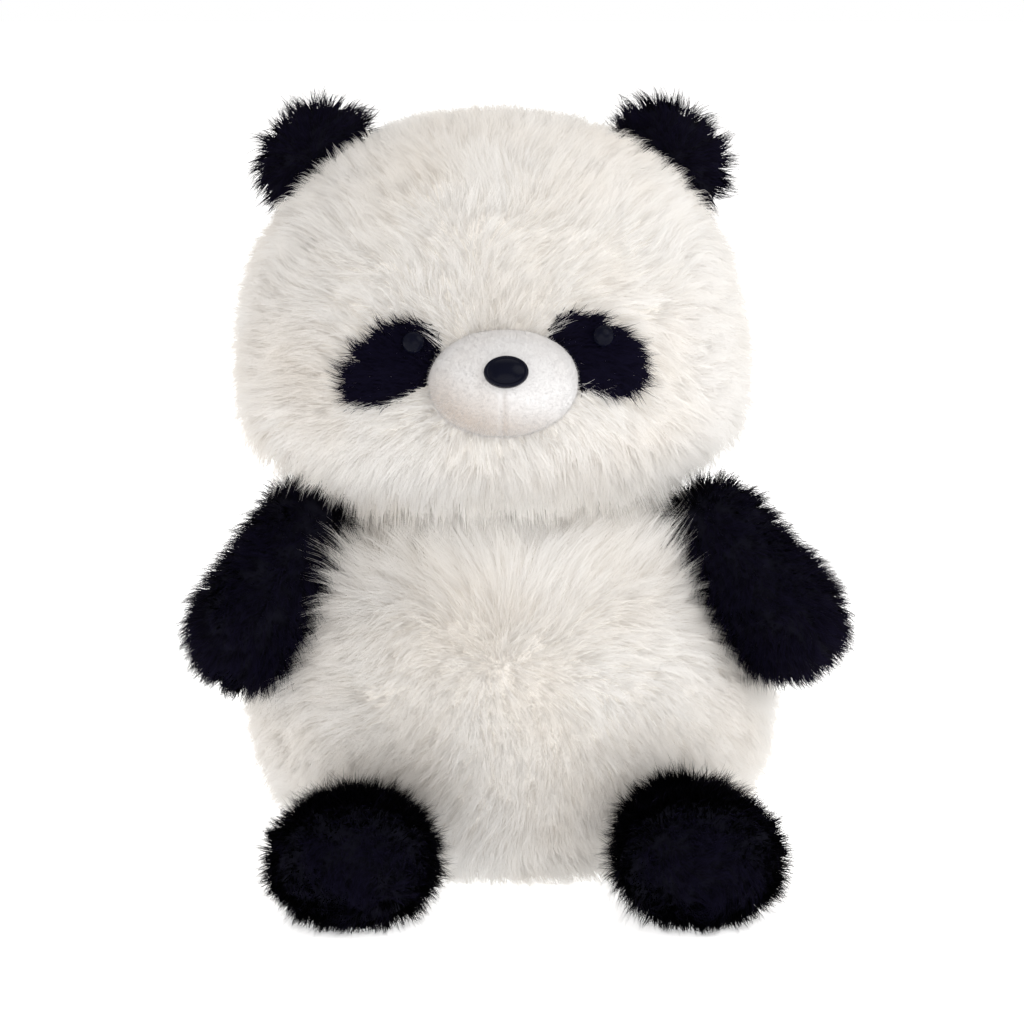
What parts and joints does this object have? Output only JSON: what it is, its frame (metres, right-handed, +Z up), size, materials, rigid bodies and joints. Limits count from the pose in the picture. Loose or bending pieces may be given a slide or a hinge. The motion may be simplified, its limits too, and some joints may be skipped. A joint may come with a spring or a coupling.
{
  "type": "plush panda",
  "caption": "Sitting plush panda with black ears, eye patches, arms and feet, a stuffed head and body, and sewn limbs that fold.",
  "frame": {"origin": "middle of the flat base panel, on the floor", "axes": "+Z up, the panda faces -Y, its own left side is +X"},
  "size_m": [0.2187, 0.2137, 0.2572],
  "materials": {
    "white_pile": "long pile",
    "black_pile": "long pile",
    "short_nap": "short nap",
    "fibre_fill": "loose fibre",
    "black_plastic": "gloss",
    "clear_plastic": "satin",
    "thread": "twisted thread",
    "ribbon": "satin ribbon"
  },
  "bodies": {
    "torso": {"back_panel_left": "white_pile", "back_panel_right": "white_pile", "base_panel": "white_pile", "belly_panel": "white_pile", "blank_label": "ribbon", "torso_stuffing": "fibre_fill"},
    "neck": {"neck_seam_thread": "thread", "neck_stuffing": "fibre_fill"},
    "head": {"eye_left": "black_plastic", "eye_patch_left": "black_pile", "eye_patch_right": "black_pile", "eye_right": "black_plastic", "eye_washer_left": "clear_plastic", "eye_washer_right": "clear_plastic", "face_panel": "white_pile", "head_back_left": "white_pile", "head_back_right": "white_pile", "head_stuffing": "fibre_fill", "muzzle_cover": "short_nap", "muzzle_stuffing": "fibre_fill", "nose_button": "black_plastic", "nose_washer": "clear_plastic"},
    "ear_left": {"ear_left_back": "black_pile", "ear_left_front": "black_pile"},
    "ear_right": {"ear_right_back": "black_pile", "ear_right_front": "black_pile"},
    "arm_left": {"arm_left_inner_panel": "black_pile", "arm_left_outer_panel": "black_pile", "arm_left_stuffing": "fibre_fill"},
    "arm_right": {"arm_right_inner_panel": "black_pile", "arm_right_outer_panel": "black_pile", "arm_right_stuffing": "fibre_fill"},
    "leg_left": {"leg_left_lower_panel": "black_pile", "leg_left_stuffing": "fibre_fill", "leg_left_upper_panel": "black_pile"},
    "leg_right": {"leg_right_lower_panel": "black_pile", "leg_right_stuffing": "fibre_fill", "leg_right_upper_panel": "black_pile"},
    "tail": {"tail_cover": "white_pile", "tail_stuffing": "fibre_fill"}
  },
  "joints": [
    {"name": "neck_turn", "type": "hinge", "parent": "torso", "child": "neck", "pos_m": [-0.0055, -0.003, 0.128], "axis": [0, 0, 1], "range_deg": [-20, 20], "stiffness_Nm_per_rad": 0.6},
    {"name": "head_nod", "type": "hinge", "parent": "neck", "child": "head", "pos_m": [-0.0055, -0.003, 0.128], "axis": [1, 0, 0], "range_deg": [-8, 8], "stiffness_Nm_per_rad": 0.8},
    {"name": "ear_left_fold", "type": "hinge", "parent": "head", "child": "ear_left", "pos_m": [0.05216, 0.004, 0.24], "axis": [0.77, 0.0404, -0.6368], "range_deg": [-15, 15], "stiffness_Nm_per_rad": 0.02},
    {"name": "ear_right_fold", "type": "hinge", "parent": "head", "child": "ear_right", "pos_m": [-0.06499, -0.00206, 0.24041], "axis": [0.7859, 0.0412, 0.617], "range_deg": [-15, 15], "stiffness_Nm_per_rad": 0.02},
    {"name": "arm_left_lift", "type": "hinge", "parent": "torso", "child": "arm_left", "pos_m": [0.06822, -0.02062, 0.11883], "axis": [0, -1, 0], "range_deg": [0, 50], "stiffness_Nm_per_rad": 0.1},
    {"name": "arm_right_lift", "type": "hinge", "parent": "torso", "child": "arm_right", "pos_m": [-0.06898, -0.02085, 0.11821], "axis": [0, 1, 0], "range_deg": [0, 50], "stiffness_Nm_per_rad": 0.1},
    {"name": "leg_left_lift", "type": "hinge", "parent": "torso", "child": "leg_left", "pos_m": [0.05643, -0.06747, 0.02653], "axis": [-1, 0, 0], "range_deg": [0, 20], "stiffness_Nm_per_rad": 0.1},
    {"name": "leg_right_lift", "type": "hinge", "parent": "torso", "child": "leg_right", "pos_m": [-0.04952, -0.06914, 0.02289], "axis": [-1, 0, 0], "range_deg": [0, 20], "stiffness_Nm_per_rad": 0.1},
    {"name": "tail_wag", "type": "hinge", "parent": "torso", "child": "tail", "pos_m": [0, 0.07272, 0.0295], "axis": [0, 0, 1], "range_deg": [-15, 15], "stiffness_Nm_per_rad": 0.02}
  ]
}
